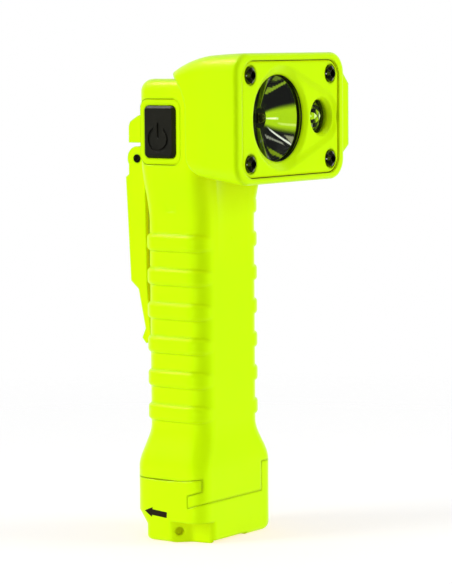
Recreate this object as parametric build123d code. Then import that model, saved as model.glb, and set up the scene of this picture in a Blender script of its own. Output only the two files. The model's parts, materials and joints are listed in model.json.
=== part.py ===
"""Right-angle safety flashlight: tilting twin-beam head, four AA cells, spring clip and slide-off battery cap.

Frame: millimetres. +Z runs up the grip, the beams point along -Y and the power button is on the -X side.
The origin is the centre of the battery cap's flat base, so the light stands on Z = 0.
"""

from build123d import *
import os

os.makedirs("parts", exist_ok=True)

# ---------------------------------------------------------------- driving dimensions
GAP = 0.15                       # hairline joint between two mouldings
HEIGHT = 174.0                   # base to top of the head

AA_RADIUS, AA_LENGTH = 7.15, 50.2
CELL_X = 7.55                    # the two cell columns stand at X = -CELL_X and +CELL_X
CELL_Z = 15.4                    # underside of the lower cells

GRIP_W, GRIP_D = 35.2, 28.0      # grip section between its ribs
RIB_W = 38.4
RIB_H, RIB_PITCH, RIB_ROUND = 6.2, 12.2, 1.6
RIB_TOP_Z = 119.0                # centre of the highest rib pair
RIBS_LEFT, RIBS_RIGHT = 6, 7     # the left side loses its top rib to the switch ear
FRONT_R, BACK_R = 6.5, 8.0       # corner radii of the grip section

CAP_W, CAP_D = 45.2, 31.8        # section at the battery cap
CAP_FRONT_R, CAP_BACK_R = 6.0, 8.0
CAP_TOP, CAP_TOP_RIGHT = 22.6, 25.7
SIDE_SEAM = [(-16.2, 24.0), (-9.0, 22.9), (-2.0, 22.35), (14.0, CAP_TOP)]    # (y, z)
CAP_WALL = 2.8
CAP_FLOOR = 9.0
CAP_TRAVEL = 8.0                 # the cap unlocks by sliding this far back and down the hook
HOOK_SLOPE = 0.33                # the hook drops this much per millimetre towards the back
SEAL_Z = 15.2                    # flat underside of the battery compartment

TONGUE_X0, TONGUE_X1 = -20.2, 14.0
TONGUE_Z, HOOK_Y = 15.0, -9.7
HOOK_Z0, HOOK_Z1 = 13.1, 17.4    # height span of the hook's free end

EAR_W, EAR_D = 42.2, 29.0        # section of the yoke that carries the head
EAR_TOP = 165.0
YOKE_GAP = 24.0                  # between the two ears
PIVOT_Y, PIVOT_Z = 0.0, 148.0
BARREL_R, BARREL_W = 12.3, 22.8
SADDLE_R = 12.9
TRUNNION_R, TRUNNION_L = 5.0, 2.4
SWEEP_R = 20.9                   # the head's hollow back clears the ears as it tilts

HEAD_FRONT_Y = -40.0
HEAD_HALF_W = 33.5
HEAD_BACK_HALF_W = 28.0
HEAD_BOTTOM = 128.5
HEAD_SHOULDER_Y = -24.2          # the flare behind this line narrows towards the ears
CHEEK_Y = -16.6                  # back edge of the head's side walls
LENS_Z = 151.2

BEZEL_W, BEZEL_H, BEZEL_R, BEZEL_T = 59.0, 40.0, 6.0, 5.0
BEZEL_Y = -39.6
SCREW_X, SCREW_DZ = 24.6, 15.2
MAIN_X, MAIN_R = -4.8, 15.2
MAIN_DISH_R, SPOT_DISH_R = 18.4, 7.8    # the lamp openings flare to these at the bezel face
SPOT_X, SPOT_R = 20.4, 6.0       # the small second lamp
REFLECTOR_Y = -29.6              # back of the main reflector

BUTTON_Y, BUTTON_Z = 2.4, 146.4
BUTTON_W, BUTTON_H = 13.4, 18.4
PLATE_W, PLATE_H = 18.2, 23.4

CLIP_HALF_W = 12.0
PIN_Y, PIN_Z, PIN_R = 19.6, 136.3, 1.5
CLIP_TIP_Z = 69.5
LUG_EYE_R = 2.15                 # the bracket's eyes stay inside the lever's hollow as it swings


# ---------------------------------------------------------------- helpers
def box(x0, x1, y0, y1, z0, z1):
    """A block between two corners."""
    size = (x1 - x0, y1 - y0, z1 - z0)
    middle = ((x0 + x1) / 2, (y0 + y1) / 2, (z0 + z1) / 2)
    return Pos(*middle) * Box(*size)


def section(width, depth, r_front, r_back, z, y=0.0):
    """A rounded rectangle at height z whose front (-Y) corners differ from its back ones."""
    face = Rectangle(width, depth)
    face = fillet(face.vertices().group_by(Axis.Y)[0], r_front)
    face = fillet(face.vertices().group_by(Axis.Y)[-1], r_back)
    return Pos(0, y, z) * face


def prism(width, depth, r_front, r_back, z0, z1):
    return extrude(section(width, depth, r_front, r_back, z0), z1 - z0)


def ease(t):
    return t * t * (3 - 2 * t)


def swept_section(lower, upper, z0, z1, steps=8):
    """A smooth change from one (width, depth, front radius, back radius) to another."""
    faces = []
    for i in range(steps + 1):
        t = ease(i / steps)
        size = [a + (b - a) * t for a, b in zip(lower, upper)]
        faces.append(section(*size, z0 + (z1 - z0) * i / steps))
    return loft(faces)


def along_x(radius, x0, x1, y=0.0, z=0.0):
    """A cylinder whose axis runs along X."""
    return Pos((x0 + x1) / 2, y, z) * Rot(0, 90, 0) * Cylinder(radius, x1 - x0)


def along_y(radius, y0, y1, x=0.0, z=0.0):
    """A cylinder whose axis runs along Y."""
    return Pos(x, (y0 + y1) / 2, z) * Rot(90, 0, 0) * Cylinder(radius, y1 - y0)


def turned_y(points, x, z):
    """A profile of (radius, y) points turned about the line through (x, z) that runs along Y."""
    wire = Polyline(*[(r, y) for r, y in points], close=True)
    face = make_face(wire)
    return Pos(x, 0, z) * revolve(face, Axis.Y)


def plate_y(width, height, radius, y0, y1, x=0.0, z=0.0):
    """A rounded rectangle in the XZ plane, extruded from y0 to y1."""
    face = Pos(x, y1, z) * Rot(90, 0, 0) * RectangleRounded(width, height, radius)
    return extrude(face, y1 - y0, dir=(0, -1, 0))


def plate_x(width, height, radius, x0, x1, y=0.0, z=0.0):
    """A rounded rectangle in the YZ plane, extruded from x0 to x1."""
    face = Pos(x0, y, z) * Rot(0, 90, 0) * RectangleRounded(height, width, radius)
    return extrude(face, x1 - x0, dir=(1, 0, 0))


def side_profile(points, x0, x1):
    """A closed (y, z) outline extruded along X."""
    wire = Polyline(*[(x0, y, z) for y, z in points], close=True)
    return extrude(make_face(wire), x1 - x0, dir=(1, 0, 0))


def save(shape, name):
    solids = shape.solids()
    export_step(solids[0] if len(solids) == 1 else Compound(children=solids), f"parts/{name}.step")


# ---------------------------------------------------------------- grip, ribs and yoke
GRIP = (GRIP_W, GRIP_D, FRONT_R, BACK_R)
CAP = (CAP_W, CAP_D, CAP_FRONT_R, CAP_BACK_R)
EAR = (EAR_W, EAR_D, 5.5, 8.0)
FLARE_Z0, FLARE_Z1 = 25.7, 41.0
NECK_Z0, NECK_Z1 = 114.0, 136.0
CHANNEL_Z0, CHANNEL_HALF_W, CHANNEL_DEPTH = 97.0, 10.4, 1.7


def rib(z, side):
    """One grip rib: it stands proud of one side only, and runs out at the front and back faces."""
    band = prism(RIB_W, GRIP_D, FRONT_R, BACK_R, z - RIB_H / 2, z + RIB_H / 2)
    band = fillet(band.faces().sort_by(Axis.Z)[-1].edges(), RIB_ROUND)
    band = fillet(band.faces().sort_by(Axis.Z)[0].edges(), RIB_ROUND)
    half = box(0, side * 40, -40, 40, 0, 200) if side > 0 else box(-40, 0, -40, 40, 0, 200)
    return band & half


def lower_block():
    """The outer form of the battery cap and the flare above it, before the two are parted."""
    return prism(*CAP, 0, FLARE_Z0) + swept_section(CAP, GRIP, FLARE_Z0, FLARE_Z1)


def ears():
    """The yoke: two ears with the tilting barrel's saddle between them."""
    block = prism(*EAR, NECK_Z1, EAR_TOP)
    rim = block.edges().filter_by(Plane.XY).sort_by(Axis.Z)[-8:]
    block = fillet(rim, 4.5)
    block -= box(-YOKE_GAP / 2, YOKE_GAP / 2, -40, 13.0, PIVOT_Z, 200)
    block -= box(-YOKE_GAP / 2, YOKE_GAP / 2, -40, 0, 134.0, 200)
    return block


def tongue():
    """The front tongue of the grip, with the hook that holds the battery cap's lip."""
    front = box(TONGUE_X0, TONGUE_X1, -40, -CAP_D / 2 + 3.0, TONGUE_Z, 30)
    return front + hook(0)


def hook(gap):
    """The sloping hook on the left side; gap grows it into the slot the cap needs for it."""
    rise = HOOK_SLOPE * 12
    outline = [
        (HOOK_Y + gap, HOOK_Z0 - gap), (HOOK_Y + gap, HOOK_Z1 + gap),
        (HOOK_Y - 12, HOOK_Z1 + gap + rise), (HOOK_Y - 12, HOOK_Z0 - gap + rise),
    ]
    return side_profile(outline, -40, TONGUE_X0 + 3.0 + gap)


def below_seam(gap):
    """Everything below the side seam, which dips a little and then rises to the front corner."""
    seam = Spline(*[(-40, y, z - gap) for y, z in SIDE_SEAM])
    (y0, z0), (y1, z1) = SIDE_SEAM[0], SIDE_SEAM[-1]
    corners = [(y1, z1 - gap), (40, z1 - gap), (40, -1), (-40, -1), (-40, z0 - gap), (y0, z0 - gap)]
    return extrude(make_face(seam + Polyline(*[(-40, y, z) for y, z in corners])), 80, dir=(1, 0, 0))


def cap_zone(gap):
    """The space that belongs to the battery cap; gap shrinks it where it meets the grip."""
    left = below_seam(gap)
    right = box(TONGUE_X1 + 2 * gap, 40, -40, 40, -1, CAP_TOP_RIGHT - gap)
    inner_w, inner_d = CAP_W / 2 - CAP_WALL, CAP_D / 2 - CAP_WALL
    core = box(-inner_w, inner_w, -inner_d, inner_d, SEAL_Z - 2 * gap, 60)
    return left + right - core


def thumb_channel():
    """A shallow hollow down the front face that fades out below the head, as a cutter."""
    rings = []
    for z, front, depth in ((CHANNEL_Z0, GRIP_D / 2, 0.05), (NECK_Z1, EAR_D / 2, CHANNEL_DEPTH)):
        left, right = (-CHANNEL_HALF_W, -front), (CHANNEL_HALF_W, -front)
        hollow = ThreePointArc(left, (0, depth - front), right)
        rim = Polyline(right, (CHANNEL_HALF_W, -front - 4), (-CHANNEL_HALF_W, -front - 4), left)
        rings.append(Pos(0, 0, z) * make_face(hollow + rim))
    return loft(rings, ruled=True)


def make_grip():
    body = lower_block() + prism(*GRIP, FLARE_Z1, NECK_Z0)
    body += swept_section(GRIP, EAR, NECK_Z0, NECK_Z1)
    for i in range(RIBS_RIGHT):
        body += rib(RIB_TOP_Z - i * RIB_PITCH, +1)
    for i in range(RIBS_LEFT):
        body += rib(RIB_TOP_Z - (i + 1) * RIB_PITCH, -1)
    body += ears()
    # part the battery cap from the grip, then give the tongue back
    outer = lower_block()
    body -= cap_zone(0)
    body += outer & tongue() & box(-40, 40, -40, 40, 0, FLARE_Z0)
    inner_w, inner_d = CAP_W / 2 - CAP_WALL - 0.2, CAP_D / 2 - CAP_WALL - 0.2
    skirt = box(-40, 40, -40, 40, 0, SEAL_Z)
    skirt += box(inner_w, 40, -40, 40, 0, CAP_TOP_RIGHT)
    body -= skirt - tongue()
    # the cap's right front wall passes through this corner as it slides
    body -= box(TONGUE_X1, 40, -40, -CAP_D / 2 + CAP_WALL + CAP_TRAVEL + 0.2, 0, CAP_TOP_RIGHT)
    body -= box(-40, -inner_w, -CAP_D / 2 + 3.0, 40, 0, CAP_TOP) - hook(0)
    body -= box(-40, 40, inner_d, 40, 0, CAP_TOP)
    # hollow for the cell liner, the contact board and the wires above it
    body -= prism(31.4, 17.4, 8.0, 8.0, 0, 121.0)
    body -= along_x(SADDLE_R, -YOKE_GAP / 2, YOKE_GAP / 2, PIVOT_Y, PIVOT_Z)
    body -= box(-7.0, 7.0, -5.0, 5.0, 118.0, PIVOT_Z)
    body -= thumb_channel()
    # left ear: switch pocket and the blind seat of the barrel's trunnion
    face_x = -EAR_W / 2
    body -= plate_x(PLATE_W, PLATE_H, 3.4, face_x - 1, -16.2, BUTTON_Y, BUTTON_Z)
    body -= along_x(TRUNNION_R + 0.05, -YOKE_GAP / 2 - TRUNNION_L - 0.1, -YOKE_GAP / 2, PIVOT_Y, PIVOT_Z)
    # right ear: bush bore and counterbore for the pivot bolt
    body -= along_x(6.0, YOKE_GAP / 2 - 1, 18.0, PIVOT_Y, PIVOT_Z)
    body -= along_x(7.6, 17.0, 30.0, PIVOT_Y, PIVOT_Z)
    # wire way from the switch pocket down to the contact board
    body -= box(-17.6, -15.2, -2.0, 2.0, 118.0, 136.0)
    body -= box(-17.6, -6.0, -2.0, 2.0, 118.0, 121.0)
    # screw bosses for the clip bracket
    for x in (-7.0, 7.0):
        body -= along_y(1.2, 9.6, 20.0, x, 128.0)
    return body


# ---------------------------------------------------------------- battery cap
LUG_FACE = (-20.3, -4.3)          # centre of the lanyard hole where it breaks the lug's face
LUG_Z, LUG_R, LUG_WALL = 4.0, 1.5, 4.0
LUG_ROUND, SCOOP_ROUND = 2.4, 3.4
NOTCH_X, NOTCH_Y, NOTCH_TOP = -16.9, -7.7, 7.6
NOTCH_FRONT_X = -15.6
CORNER_Z, CORNER_SLOPE = 4.7, 0.68            # the base's cut-off right edge
HEEL_Y, HEEL_Z0, HEEL_Z1 = 10.4, 5.6, 10.2    # set-back of the base's rear edge


def scooped_base():
    """The cap's full form above, with a rounded scoop beside the lanyard lug below NOTCH_TOP."""
    front_corner = (NOTCH_FRONT_X, -CAP_D / 2)
    outline = [(NOTCH_FRONT_X, -30), front_corner, (NOTCH_X, NOTCH_Y)]
    outline += [(-32, NOTCH_Y + 32 + NOTCH_X), (-32, -30)]
    plan = section(*CAP, 0) - make_face(Polyline(*outline, close=True))
    side_corner = (-CAP_W / 2, NOTCH_Y + CAP_W / 2 + NOTCH_X)
    for (x, y), radius in (((NOTCH_X, NOTCH_Y), SCOOP_ROUND), (front_corner, LUG_ROUND), (side_corner, LUG_ROUND)):
        plan = fillet(plan.vertices().sort_by_distance((x, y, 0))[0], radius)
    return extrude(plan, NOTCH_TOP, dir=(0, 0, 1)) + prism(*CAP, NOTCH_TOP, 60)


def set_back_heel():
    """The cap's full form above, stepping in at the back below HEEL_Z1."""
    size = (CAP_W, CAP_D / 2 + HEEL_Y, CAP_FRONT_R, 4.0)
    middle = (HEEL_Y - CAP_D / 2) / 2
    lower = section(*size, HEEL_Z0, y=middle)
    form = extrude(lower, HEEL_Z0, dir=(0, 0, -1))
    form = fillet(form.faces().sort_by(Axis.Z)[0].edges(), 1.6)
    form += loft([lower, section(*CAP, HEEL_Z1)])
    return form + prism(*CAP, HEEL_Z1, 60)


def make_cap():
    cap = lower_block() & cap_zone(GAP)
    cap -= tongue()
    cap -= box(TONGUE_X0 - GAP, TONGUE_X1 + GAP, -40, -CAP_D / 2 + 3.0 + GAP, TONGUE_Z - GAP, 60)
    cap -= hook(GAP)
    inner_w, inner_d = CAP_W / 2 - CAP_WALL, CAP_D / 2 - CAP_WALL
    cap -= box(-inner_w, inner_w, -inner_d, inner_d, SEAL_Z - 0.1, 60)
    cap -= prism(31.0, 17.0, 8.0, 8.0, CAP_FLOOR, 60)
    # face-seal groove round the spring well
    cap -= prism(35.6, 21.6, 9.6, 9.6, SEAL_Z - 1.7, 60) - prism(32.6, 18.6, 8.6, 8.6, 0, 60)
    # underside: lug scoop, set-back heel, chamfered right edge and a pry slot
    cap &= scooped_base()
    cap &= set_back_heel()
    inner_x = CAP_W / 2 - (CORNER_Z + 1) / CORNER_SLOPE
    wedge = [(CAP_W / 2 + 1, CORNER_Z + CORNER_SLOPE), (inner_x, -1.0), (CAP_W / 2 + 1, -1.0)]
    wire = Polyline(*[(x, -40, z) for x, z in wedge], close=True)
    cap -= extrude(make_face(wire), 80, dir=(0, 1, 0))
    cap -= box(-15.0, 5.0, -20, -9.0, -1, 0.9)
    # lanyard hole through the lug, into a pocket that opens downwards
    x, y = LUG_FACE
    axis = Pos(x, y, LUG_Z) * Rot(0, 0, 45)
    cap -= axis * Pos(2.0, 0, 0) * Rot(0, 90, 0) * Cylinder(LUG_R, 6.0)
    cap -= axis * Pos(LUG_WALL + 3.0, 0, 1.5 - LUG_Z) * Box(6.0, 8.0, 10.0)
    return cap


def conical_spring(x):
    """A tapering contact spring under one cell column."""
    z0, z1 = CAP_FLOOR + 0.75, CELL_Z - 0.6
    path = Helix(pitch=(z1 - z0) / 3.0, height=z1 - z0, radius=4.6, cone_angle=-14)
    wire = Plane(origin=path @ 0, z_dir=path % 0) * Circle(0.35)
    coil = sweep(wire, path=path)
    return Pos(x, 0, z0) * coil


def make_contact_springs():
    return Compound(children=[s for x in (-CELL_X, CELL_X) for s in conical_spring(x).solids()])


def make_cap_contact():
    """The bridge plate that joins the two cell columns in series."""
    return prism(27.0, 10.0, 4.0, 4.0, CAP_FLOOR, CAP_FLOOR + 0.35)


def make_cap_seal():
    ring = prism(35.2, 21.2, 9.4, 9.4, SEAL_Z - 1.6, SEAL_Z - 0.05)
    return ring - prism(33.0, 19.0, 8.8, 8.8, 0, 60)


# ---------------------------------------------------------------- cells and contacts
def aa_cell(x, z, nub_up):
    """One AA cell: a can with its small positive button."""
    can = Pos(x, 0, z + 24.6) * Cylinder(AA_RADIUS, 49.2)
    can = fillet(can.edges(), 0.6)
    nub = Pos(x, 0, z + 49.7) * Cylinder(2.6, 1.0)
    cell = can + nub
    if not nub_up:
        cell = Pos(x, 0, z + AA_LENGTH / 2) * Rot(180, 0, 0) * Pos(-x, 0, -z - AA_LENGTH / 2) * cell
    return cell


def make_cells():
    """Four cells by column and level; the two columns face opposite ways."""
    cells = {}
    for column, x, up in (("left", -CELL_X, True), ("right", CELL_X, False)):
        for level, k in (("lower", 0), ("upper", 1)):
            cells[f"aa_cell_{column}_{level}"] = aa_cell(x, CELL_Z + k * (AA_LENGTH + 0.05), up)
    return cells


CELLS_TOP = CELL_Z + 2 * AA_LENGTH + 0.05


def make_liner():
    """The moulded liner that guides both cell columns inside the grip."""
    liner = prism(31.1, 17.1, 7.85, 7.85, SEAL_Z + 0.1, CELLS_TOP)
    for x in (-CELL_X, CELL_X):
        liner -= Pos(x, 0, 65) * Cylinder(AA_RADIUS + 0.2, 140)
    liner -= box(-2.0, 2.0, -4.4, 4.4, 0, 140)
    return liner


def make_contact_board():
    return prism(30.8, 16.8, 7.6, 7.6, CELLS_TOP + 0.9, CELLS_TOP + 2.3)


def make_top_contacts():
    """Sprung button contacts for the two upper cells."""
    pads = []
    for x in (-CELL_X, CELL_X):
        pads += (Pos(x, 0, CELLS_TOP + 0.45) * Cylinder(3.0, 0.8)).solids()
    return Compound(children=pads)


# ---------------------------------------------------------------- power switch in the left ear
PLATE_X = -EAR_W / 2 + 0.5


def make_switch_plate():
    plate = plate_x(PLATE_W - 0.3, PLATE_H - 0.3, 3.25, PLATE_X, PLATE_X + 1.5, BUTTON_Y, BUTTON_Z)
    return plate - plate_x(BUTTON_W + 0.3, BUTTON_H + 0.3, 1.9, -40, 0, BUTTON_Y, BUTTON_Z)


def power_symbol(x0, x1):
    """The open ring and bar of the power mark, as a cutter."""
    z = BUTTON_Z - 2.5
    ring = along_x(4.6, x0, x1, BUTTON_Y, z) - along_x(3.6, x0 - 1, x1 + 1, BUTTON_Y, z)
    ring -= box(x0 - 1, x1 + 1, BUTTON_Y - 2.3, BUTTON_Y + 2.3, z, z + 9)
    bar = plate_x(1.2, 5.4, 0.58, x0, x1, BUTTON_Y, z + 3.0)
    return ring + bar


def make_button():
    """The rubber push button with its hidden flange and the nib that works the dome."""
    face_x = PLATE_X - 1.3
    button = plate_x(BUTTON_W, BUTTON_H, 1.8, face_x, PLATE_X + 1.7, BUTTON_Y, BUTTON_Z)
    rim = button.edges().filter_by(Plane.YZ).group_by(Axis.X)[0]
    button = chamfer(rim, 0.85)
    button -= power_symbol(face_x - 1, face_x + 0.5)
    button += plate_x(BUTTON_W + 1.8, BUTTON_H + 1.8, 2.4, PLATE_X + 1.7, PLATE_X + 2.1, BUTTON_Y, BUTTON_Z)
    return button + along_x(1.6, PLATE_X + 2.0, PLATE_X + 2.4, BUTTON_Y, BUTTON_Z)


def make_switch_dome():
    return along_x(2.6, -17.45, -16.95, BUTTON_Y, BUTTON_Z)


def make_switch_board():
    return plate_x(PLATE_W - 0.8, PLATE_H - 0.8, 3.0, -16.95, -16.25, BUTTON_Y, BUTTON_Z)


# ---------------------------------------------------------------- tilting head
def head_face(half_w, z0, z1, radius, y):
    """One cross-section of the head, square to the beam."""
    face = RectangleRounded(2 * half_w, z1 - z0, radius)
    return Pos(0, y, (z0 + z1) / 2) * Rot(90, 0, 0) * face


def head_outer():
    """The flared outer block: a straight-sided front and a narrowing back with a swept-back hood."""
    front = loft(
        [
            head_face(HEAD_HALF_W, HEAD_BOTTOM, HEIGHT, 7.5, HEAD_FRONT_Y),
            head_face(HEAD_HALF_W - 0.2, HEAD_BOTTOM + 0.5, HEIGHT - 0.1, 7.3, -36.0),
            head_face(HEAD_HALF_W - 0.9, HEAD_BOTTOM + 2.2, HEIGHT - 0.8, 6.6, HEAD_SHOULDER_Y),
        ]
    )
    back = loft(
        [
            head_face(HEAD_HALF_W - 0.9, HEAD_BOTTOM + 2.2, HEIGHT - 0.8, 6.6, HEAD_SHOULDER_Y),
            head_face(HEAD_HALF_W - 1.5, HEAD_BOTTOM + 2.9, HEIGHT - 1.7, 6.2, -19.5),
            head_face(HEAD_HALF_W - 2.8, HEAD_BOTTOM + 3.5, HEIGHT - 3.7, 5.8, -13.0),
            head_face(HEAD_BACK_HALF_W, HEAD_BOTTOM + 4.0, HEIGHT - 6.4, 5.4, -6.5),
        ]
    )
    block = front + back
    # the back edge: square below, swept back into the hood above
    heel_y, heel_z = -23.0, HEAD_BOTTOM + 1.0
    outline = [
        Line((0, -60, 100), (0, -60, 180)),
        Line((0, -60, 180), (0, -7.6, 180)),
        Line((0, -7.6, 180), (0, -7.6, 167.6)),
        ThreePointArc((0, -7.6, 167.6), (0, -13.7, 162.4), (0, CHEEK_Y, 155.0)),
        Line((0, CHEEK_Y, 155.0), (0, CHEEK_Y, 139.0)),
        ThreePointArc((0, CHEEK_Y, 139.0), (0, -18.2, 134.2), (0, heel_y, heel_z)),
        Line((0, heel_y, heel_z), (0, heel_y, 100)),
        Line((0, heel_y, 100), (0, -60, 100)),
    ]
    keep = Pos(-50, 0, 0) * make_face(Wire(outline))
    return block & extrude(keep, 100, dir=(1, 0, 0))


def make_head_housing():
    housing = head_outer()
    rim = housing.faces().sort_by(Axis.Y)[0].edges()
    housing = fillet(rim, 1.6)
    # room for the ears to pass as the head tilts
    housing -= along_x(SWEEP_R, -EAR_W / 2 - 0.9, EAR_W / 2 + 0.9, PIVOT_Y, PIVOT_Z)
    # front opening: bezel rebate, gasket step and the optics chamber
    housing -= plate_y(BEZEL_W + 0.5, BEZEL_H + 0.5, BEZEL_R + 0.2, -50, BEZEL_Y + BEZEL_T + 0.9, 0, LENS_Z)
    housing -= plate_y(54.6, 36.5, 6.0, -50, -23.5, 0, LENS_Z)
    for x in (-SCREW_X, SCREW_X):
        for z in (LENS_Z - SCREW_DZ, LENS_Z + SCREW_DZ):
            housing += along_y(3.4, -33.6, -23.0, x, z) & head_outer()
            housing -= along_y(1.2, -50, -25.5, x, z)
    # bridge and barrel that carry the head between the ears
    bridge_half = BARREL_W / 2
    barrel = along_x(BARREL_R, -bridge_half, bridge_half, PIVOT_Y, PIVOT_Z)
    arm = box(-bridge_half, bridge_half, -23.5, 0, PIVOT_Z - 9.0, PIVOT_Z + 9.0)
    housing += barrel + arm
    housing += along_x(TRUNNION_R, -bridge_half - 0.5 - TRUNNION_L, -bridge_half, PIVOT_Y, PIVOT_Z)
    # wire way through the arm, and the pivot bolt's thread
    housing -= box(-5.0, 5.0, -24.5, -4.0, PIVOT_Z - 5.0, PIVOT_Z + 5.0)
    housing -= box(-5.0, 5.0, -5.0, 5.0, PIVOT_Z - 14.0, PIVOT_Z + 4.0)
    housing -= along_x(3.0, 5.0, 20.0, PIVOT_Y, PIVOT_Z)
    # raised side pad on the right cheek
    pad = [
        (31.5, 134.0), (34.0, 137.4), (38.3, 140.6), (38.3, 162.6), (35.2, 165.8), (33.4, 169.0),
        (31.5, 169.0),
    ]
    wire = Polyline(*[(x, -38.4, z) for x, z in pad], close=True)
    housing += extrude(make_face(wire), 9.0, dir=(0, 1, 0)) - box(-60, HEAD_HALF_W - 1.5, -60, 0, 100, 200)
    return housing


def teardrop(grow):
    """The outline round both lamps: two circles and their common tangents."""
    big, small = Circle(18.4 + grow), Circle(9.4 + grow)
    return make_hull((Pos(MAIN_X, 0) * big + Pos(SPOT_X, 0) * small).edges())


def make_bezel():
    """The front plate: a sunk teardrop field, two dished lamp openings and four screw seats."""
    bezel = plate_y(BEZEL_W, BEZEL_H, BEZEL_R, BEZEL_Y, BEZEL_Y + BEZEL_T, 0, LENS_Z)
    bezel = fillet(bezel.faces().sort_by(Axis.Y)[0].edges(), 0.7)
    y = BEZEL_Y
    floor = Pos(0, y + 1.1, LENS_Z) * Rot(90, 0, 0) * teardrop(-1.8)
    rim = Pos(0, y - 0.1, LENS_Z) * Rot(90, 0, 0) * teardrop(0.2)
    bezel -= loft([floor, rim], ruled=True)
    for x, radius, dish in ((MAIN_X, MAIN_R, MAIN_DISH_R), (SPOT_X, SPOT_R, SPOT_DISH_R)):
        opening = [(0, y - 1), (dish + 0.2, y - 1), (dish, y), (radius, y + 2.5), (radius, y + 9), (0, y + 9)]
        bezel -= turned_y(opening, x, LENS_Z)
    # seats for the two windows, cut from behind
    bezel -= along_y(16.9, y + 2.9, y + 9, MAIN_X, LENS_Z)
    bezel -= along_y(6.9, y + 3.4, y + 9, SPOT_X, LENS_Z)
    for x in (-SCREW_X, SCREW_X):
        for z in (LENS_Z - SCREW_DZ, LENS_Z + SCREW_DZ):
            bezel -= along_y(3.5, y - 5, y + 0.9, x, z)
            bezel -= along_y(1.75, y - 5, y + 9, x, z)
    return bezel


def make_bezel_gasket():
    """The black seal that shows as a dark line round the bezel."""
    y = BEZEL_Y + BEZEL_T
    ring = plate_y(BEZEL_W, BEZEL_H, BEZEL_R, y + 0.05, y + 0.85, 0, LENS_Z)
    ring -= plate_y(54.9, 37.1, 6.0, y - 1, y + 2, 0, LENS_Z)
    for x in (-SCREW_X, SCREW_X):
        for z in (LENS_Z - SCREW_DZ, LENS_Z + SCREW_DZ):
            ring -= along_y(3.6, y - 1, y + 2, x, z)
    return ring


def pan_screw(head_r, head_h, shank_r, length):
    """A domed socket-head screw pointing along +Y with its seat at the origin."""
    head = turned_y([(0, -head_h), (head_r * 0.55, -head_h), (head_r * 0.88, -head_h * 0.68),
                     (head_r, -head_h * 0.2), (head_r, 0), (0, 0)], 0, 0)
    hexagon = extrude(RegularPolygon(head_r * 0.48, 6), 0.6, both=True)
    socket = Pos(0, -head_h + 0.5, 0) * Rot(90, 0, 0) * hexagon
    shank = along_y(shank_r, 0, length)
    return head - socket + shank


def make_bezel_screws():
    solids = []
    for x in (-SCREW_X, SCREW_X):
        for z in (LENS_Z - SCREW_DZ, LENS_Z + SCREW_DZ):
            screw = pan_screw(3.05, 2.0, 1.15, 12.0)
            solids += (Pos(x, BEZEL_Y + 0.9, z) * screw).solids()
    return Compound(children=solids)


def make_main_window():
    return along_y(16.6, BEZEL_Y + 2.95, BEZEL_Y + 4.6, MAIN_X, LENS_Z)


def make_main_window_seal():
    ring = along_y(16.6, BEZEL_Y + 4.62, BEZEL_Y + 5.6, MAIN_X, LENS_Z)
    return ring - along_y(15.2, -50, 0, MAIN_X, LENS_Z)


def make_main_reflector():
    """A bright dished cup: parabola-like inside, a plain skin outside, a rim flange in front."""
    mouth, throat = 14.9, 3.6
    front = BEZEL_Y + 4.65
    inner = []
    steps = 14
    for i in range(steps + 1):
        t = i / steps
        r = throat + (mouth - throat) * t
        inner.append((r, REFLECTOR_Y + (front - REFLECTOR_Y) * (0.72 * t + 0.28 * t * t)))
    outer = [(mouth, front), (mouth + 0.2, front), (mouth + 0.2, front + 1.0), (throat + 2.2, REFLECTOR_Y)]
    return turned_y(inner + outer[1:], MAIN_X, LENS_Z)


def make_main_led():
    return along_y(8.0, REFLECTOR_Y + 0.1, REFLECTOR_Y + 1.5, MAIN_X, LENS_Z)


def make_main_emitter():
    base = Pos(MAIN_X, REFLECTOR_Y - 0.25, LENS_Z) * Box(3.5, 0.6, 3.5)
    dome = Pos(MAIN_X, REFLECTOR_Y - 0.5, LENS_Z) * Sphere(1.5)
    dome -= box(-60, 60, REFLECTOR_Y - 0.5, 0, 0, 200)
    return base + dome


def make_spot_window():
    return along_y(6.7, BEZEL_Y + 3.45, BEZEL_Y + 4.6, SPOT_X, LENS_Z)


def make_spot_trim():
    """The dark ring that frames the small lamp."""
    y = BEZEL_Y + 4.65
    return turned_y([(5.5, y), (6.7, y), (6.7, y + 1.6), (4.5, y + 1.6)], SPOT_X, LENS_Z)


def make_spot_reflector():
    """A small eight-facet cup."""
    y0, y1 = BEZEL_Y + 6.3, BEZEL_Y + 10.0
    body = along_y(5.4, y0, y1, SPOT_X, LENS_Z)
    mouth = Pos(SPOT_X, y0 - 0.01, LENS_Z) * Rot(90, 0, 0) * RegularPolygon(4.6, 8)
    throat = Pos(SPOT_X, y1 + 0.01, LENS_Z) * Rot(90, 0, 0) * RegularPolygon(1.6, 8)
    return body - loft([mouth, throat])


def make_spot_led():
    return plate_y(9.0, 9.0, 1.0, BEZEL_Y + 10.1, BEZEL_Y + 11.4, SPOT_X, LENS_Z)


def make_heat_sink():
    """The metal plate that both lamp boards sit on."""
    plate = plate_y(50.0, 30.0, 4.0, -28.0, -25.6, 0, LENS_Z)
    for x in (-SCREW_X, SCREW_X):
        for z in (LENS_Z - SCREW_DZ, LENS_Z + SCREW_DZ):
            plate -= along_y(3.8, -60, 0, x, z)
    return plate - along_y(2.0, -60, 0, 5.6, LENS_Z)


def make_driver_board():
    board = plate_y(40.0, 22.0, 3.0, -25.5, -24.3, 0, LENS_Z - 1)
    return board - along_y(2.0, -60, 0, 5.6, LENS_Z)


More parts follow.
